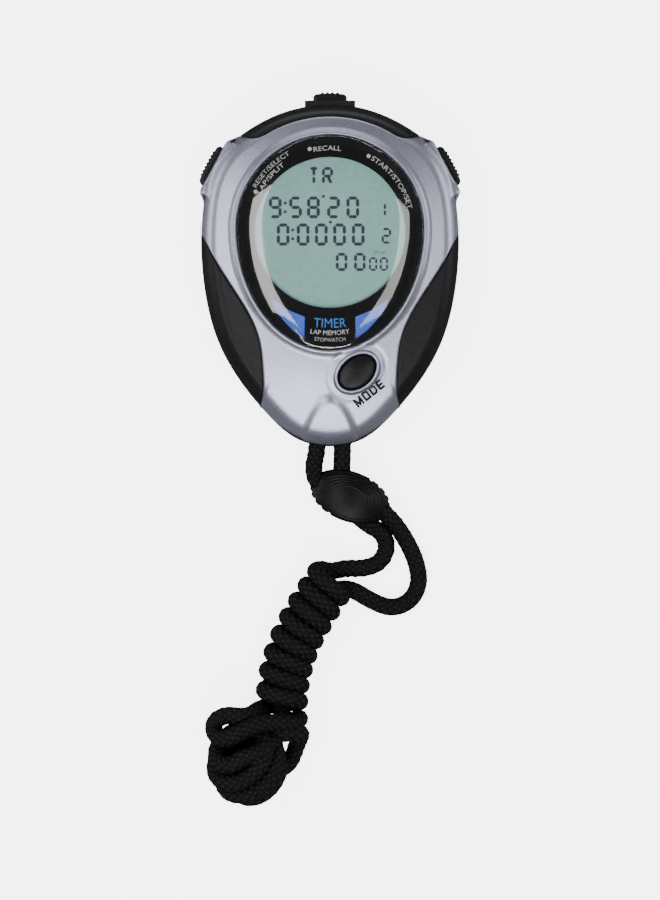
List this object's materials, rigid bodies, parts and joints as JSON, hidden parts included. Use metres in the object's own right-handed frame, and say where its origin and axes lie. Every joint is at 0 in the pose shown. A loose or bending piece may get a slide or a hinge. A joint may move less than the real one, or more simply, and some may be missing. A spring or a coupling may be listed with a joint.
{
  "type": "digital stopwatch",
  "caption": "Handheld digital stopwatch: egg-shaped case, domed lens over a display, crown push-buttons, mode button, side grips, battery lid and a wound neck lanyard with a slider.",
  "frame": {"origin": "under the centre of the watch without its lanyard, on the surface that its back rests on", "axes": "+Z out of the display, +Y from the nose to the top button, +X to the start button"},
  "size_m": [0.0638, 0.1728, 0.022],
  "materials": {
    "silver_paint": "silver metallic paint on moulded plastic, satin with a fine sparkle",
    "case_black": "black moulded plastic, semi-gloss",
    "grip_black": "black moulded plastic with a fine grain",
    "seal_rubber": "black rubber",
    "screw_steel": "plated steel",
    "cell_steel": "polished steel",
    "inner_plastic": "plain black plastic",
    "contact_brass": "bare metal",
    "clear_lens": "clear acrylic, polished",
    "mask_print": "black printed plate with white and blue print",
    "display": "grey-green liquid crystal display",
    "reflector": "pale reflecting film",
    "board_green": "green solder mask",
    "epoxy": "black epoxy",
    "button_black": "black moulded plastic",
    "dome_rubber": "grey silicone rubber",
    "cord_black": "braided polyester cord, black",
    "slider_black": "black moulded plastic, glossy"
  },
  "bodies": {
    "watch": {"front_bezel": "silver_paint", "front_case": "case_black", "rear_cover": "case_black", "left_grip": "grip_black", "right_grip": "grip_black", "case_seal": "seal_rubber", "rear_screws": "screw_steel", "coin_cell": "cell_steel", "battery_holder": "inner_plastic", "battery_contact_positive": "contact_brass", "battery_contact_negative": "contact_brass", "lens": "clear_lens", "lens_seal": "seal_rubber", "lens_mask": "mask_print", "lcd_panel": "display", "lcd_frame": "inner_plastic", "lcd_reflector": "reflector", "upper_zebra_strip": "seal_rubber", "lower_zebra_strip": "seal_rubber", "circuit_board": "board_green", "board_screws": "screw_steel", "chip_cover": "epoxy", "quartz_crystal": "cell_steel", "piezo_buzzer": "contact_brass", "mode_contact_dome": "dome_rubber", "lanyard_post": "screw_steel", "lanyard_loop": "cord_black", "left_strand": "cord_black", "right_strand": "cord_black", "lanyard_hank": "cord_black", "start_stop_spring": "screw_steel", "start_stop_switch": "inner_plastic", "lap_reset_spring": "screw_steel", "lap_reset_switch": "inner_plastic", "recall_spring": "screw_steel", "recall_switch": "inner_plastic"},
    "mode_key": {"mode_button": "button_black"},
    "battery_lid": {"battery_hatch": "case_black", "battery_hatch_seal": "seal_rubber"},
    "slider": {"cord_slider": "slider_black"},
    "start_stop_key": {"start_stop_button": "button_black", "start_stop_seal": "seal_rubber", "start_stop_clip": "screw_steel"},
    "lap_reset_key": {"lap_reset_button": "button_black", "lap_reset_seal": "seal_rubber", "lap_reset_clip": "screw_steel"},
    "recall_key": {"recall_button": "button_black", "recall_seal": "seal_rubber", "recall_clip": "screw_steel"}
  },
  "joints": [
    {"name": "start_stop_press", "type": "slide", "parent": "watch", "child": "start_stop_key", "axis": [-0.8829, -0.4695, 0], "range_m": [0, 0.0012], "stiffness_N_per_m": 600, "springref_m": -0.0008, "deforming": ["start_stop_spring"]},
    {"name": "lap_reset_press", "type": "slide", "parent": "watch", "child": "lap_reset_key", "axis": [0.8829, -0.4695, 0], "range_m": [0, 0.0012], "stiffness_N_per_m": 600, "springref_m": -0.0008, "deforming": ["lap_reset_spring"]},
    {"name": "recall_press", "type": "slide", "parent": "watch", "child": "recall_key", "axis": [0, -1, 0], "range_m": [0, 0.0012], "stiffness_N_per_m": 600, "springref_m": -0.0008, "deforming": ["recall_spring"]},
    {"name": "mode_press", "type": "slide", "parent": "watch", "child": "mode_key", "axis": [0, 0, -1], "range_m": [0, 0.0008], "stiffness_N_per_m": 500, "springref_m": -0.0004, "deforming": ["mode_contact_dome"]},
    {"name": "battery_lid_turn", "type": "hinge", "parent": "watch", "child": "battery_lid", "pos_m": [0, 0.008, 0], "axis": [0, 0, -1], "range_deg": [0, 60]},
    {"name": "slider_slide", "type": "slide", "parent": "watch", "child": "slider", "axis": [0.766, -0.6428, 0], "range_m": [-0.002, 0.002], "deforming": ["left_strand", "right_strand"]}
  ]
}
